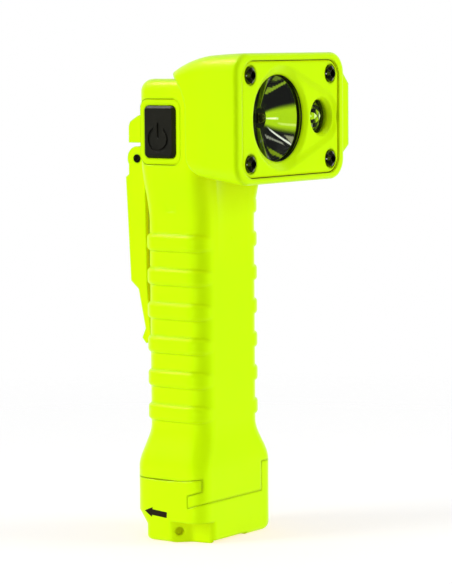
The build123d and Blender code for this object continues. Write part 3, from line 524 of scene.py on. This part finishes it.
def make_spot_cup():
    """The small lamp's hammered cup: rings of flat facets, each turned by half a facet from the last."""
    (middle_x, middle_z), ring_back = make_mouth_ring()
    _, (cup_right, back, _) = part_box("spot_reflector")
    front = ring_back + CUP_GAP
    bm = bmesh.new()

    def circle(radius, y, turn=0.0):
        angles = [2 * pi * (i + turn) / FACETS for i in range(FACETS)]
        return [bm.verts.new((middle_x + radius * cos(a), y, middle_z + radius * sin(a))) for a in angles]

    rings = []
    for k, (radius, share) in enumerate(CUP_PROFILE):
        rings.append(circle(radius * MM, front + (back - front) * share, 0.5 * (k % 2)))
    for k, (near, far) in enumerate(zip(rings, rings[1:])):
        for i in range(FACETS):
            j = (i + 1) % FACETS
            tip = far[i] if k % 2 == 0 else far[j]
            base = near[j] if k % 2 == 0 else near[i]
            bm.faces.new((near[i], near[j], tip))
            bm.faces.new((base, far[j], far[i]))
    rim, foot = circle(CUP_RIM_R, front), circle(cup_right - middle_x, back)
    for i in range(FACETS):
        j = (i + 1) % FACETS
        bm.faces.new((rim[i], rim[j], rings[0][j], rings[0][i]))
        bm.faces.new((rim[i], rim[j], foot[j], foot[i]))
        bm.faces.new((foot[i], foot[j], rings[-1][i]))
        bm.faces.new((foot[j], rings[-1][j], rings[-1][i]))
    cup = add_piece("spot_faceted_cup", bm, MATERIALS["reflector_chrome"], "head")
    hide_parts("spot_reflector")


make_arrow_print()
make_seams()
make_window_lip()
make_spot_cup()


# ---------------------------------------------------------------- studio
def toward(azimuth, elevation):
    """Unit vector toward a compass direction in degrees: 0 is -Y, the way the lamp points, and +90 is +X."""
    a, e = radians(azimuth), radians(elevation)
    return Vector((sin(a) * cos(e), -cos(a) * cos(e), sin(e)))


def make_camera():
    """The main view's camera: aimed well above the base, shifted sideways and rolled by a hair."""
    azimuth, roll = radians(CAMERA_AZIMUTH), radians(CAMERA_ROLL)
    back = toward(CAMERA_AZIMUTH, CAMERA_ELEVATION)
    level = Vector((cos(azimuth), sin(azimuth), 0))
    upright = back.cross(level)
    right = cos(roll) * level + sin(roll) * upright
    up = cos(roll) * upright - sin(roll) * level
    placed = Matrix((right, up, back)).transposed().to_4x4()
    placed.translation = Vector((0, 0, AIM_HEIGHT)) + AIM_SHIFT * right + CAMERA_DISTANCE * back
    data = bpy.data.cameras.new("camera")
    data.lens = CAMERA_LENS
    data.sensor_width = CAMERA_SENSOR
    camera = bpy.data.objects.new("camera", data)
    camera.matrix_world = placed
    scene.collection.objects.link(camera)
    scene.camera = camera


def softbox(name, azimuth, elevation, distance, size, power):
    """A soft light aimed at the object; it isn't mirrored, as the mirrored studio is painted in the world."""
    data = bpy.data.lights.new(name, "AREA")
    data.shape = "RECTANGLE"
    data.size, data.size_y = size
    data.energy = power
    light = bpy.data.objects.new(name, data)
    direction = toward(azimuth, elevation)
    light.location = Vector((0, 0, AIM_HEIGHT)) + distance * direction
    light.rotation_euler = (-direction).to_track_quat("-Z", "Y").to_euler()
    light.visible_camera = False
    light.visible_glossy = False
    scene.collection.objects.link(light)


def make_floor():
    """A square floor just under the light's base."""
    mesh = bpy.data.meshes.new("floor")
    bm = bmesh.new()
    for side_x, side_y in ((-1, -1), (1, -1), (1, 1), (-1, 1)):
        bm.verts.new((side_x * FLOOR_HALF, side_y * FLOOR_HALF, -FLOOR_GAP))
    bm.faces.new(bm.verts)
    bm.to_mesh(mesh)
    bm.free()
    mesh.materials.append(floor_paint("floor_paint"))
    floor = bpy.data.objects.new("floor", mesh)
    scene.collection.objects.link(floor)
    floor.visible_glossy = False


class Sky:
    """The world: white to the camera, plain ambient for diffuse rays, painted panels for reflections."""

    def __init__(self):
        world = bpy.data.worlds.new("studio")
        world.use_nodes = True
        self.tree = world.node_tree
        self.tree.nodes.clear()
        scene.world = world
        direction = self.add("ShaderNodeTexCoord").outputs["Generated"]
        split = self.add("ShaderNodeSeparateXYZ", (direction,))
        forward = self.calc("MULTIPLY", split.outputs[1], -1.0)
        self.azimuth = self.calc("ARCTAN2", split.outputs[0], forward)
        self.elevation = self.calc("ARCSINE", split.outputs[2])
        self.colour = (AMBIENT_REFLECTED,) * 3

    def add(self, kind, values=()):
        made = self.tree.nodes.new(kind)
        for socket, value in zip(made.inputs, values):
            if isinstance(value, bpy.types.NodeSocket):
                self.tree.links.new(value, socket)
            else:
                socket.default_value = value
        return made

    def calc(self, operation, *values):
        made = self.add("ShaderNodeMath", values)
        made.operation = operation
        return made.outputs[0]

    def inside(self, angle, centre, half, soft):
        """1 within half of centre, 0 beyond half + soft, all in degrees."""
        off = self.calc("ABSOLUTE", self.calc("SUBTRACT", angle, radians(centre)))
        made = self.add("ShaderNodeMapRange", (off, radians(half + soft), radians(half), 0.0, 1.0))
        made.interpolation_type = "SMOOTHSTEP"
        return made.outputs["Result"]

    def panel(self, azimuth, elevation, half_size, soft, slant, colour):
        """Adds one soft-edged panel; slant tilts it by so many degrees up per degree of azimuth."""
        rise = self.calc("MULTIPLY", self.calc("SUBTRACT", self.azimuth, radians(azimuth)), slant)
        mask = self.calc(
            "MULTIPLY",
            self.inside(self.azimuth, azimuth, half_size[0], soft),
            self.inside(self.calc("SUBTRACT", self.elevation, rise), elevation, half_size[1], soft),
        )
        made = self.tree.nodes.new("ShaderNodeVectorMath")
        made.operation = "MULTIPLY_ADD"
        made.inputs[0].default_value = colour
        self.tree.links.new(mask, made.inputs[1])
        if isinstance(self.colour, tuple):
            made.inputs[2].default_value = self.colour
        else:
            self.tree.links.new(self.colour, made.inputs[2])
        self.colour = made.outputs[0]

    def choose(self, fac, otherwise, chosen):
        return self.add("ShaderNodeMixShader", (fac, otherwise, chosen)).outputs[0]

    def finish(self):
        path = self.add("ShaderNodeLightPath")
        ambient = self.add("ShaderNodeBackground", ((1, 1, 1, 1), AMBIENT))
        backdrop = self.add("ShaderNodeBackground", ((1, 1, 1, 1), 1.0))
        mirrored = self.add("ShaderNodeBackground", (self.colour, 1.0))
        unseen = self.choose(path.outputs["Is Glossy Ray"], ambient.outputs[0], mirrored.outputs[0])
        surface = self.choose(path.outputs["Is Camera Ray"], unseen, backdrop.outputs[0])
        self.tree.links.new(surface, self.add("ShaderNodeOutputWorld").inputs["Surface"])


def make_world():
    sky = Sky()
    for row in REFLECTED_PANELS:
        sky.panel(*row)
    sky.finish()


make_camera()
make_world()
make_floor()
for row in SOFTBOXES:
    softbox(*row)
scene.view_settings.view_transform = "Standard"
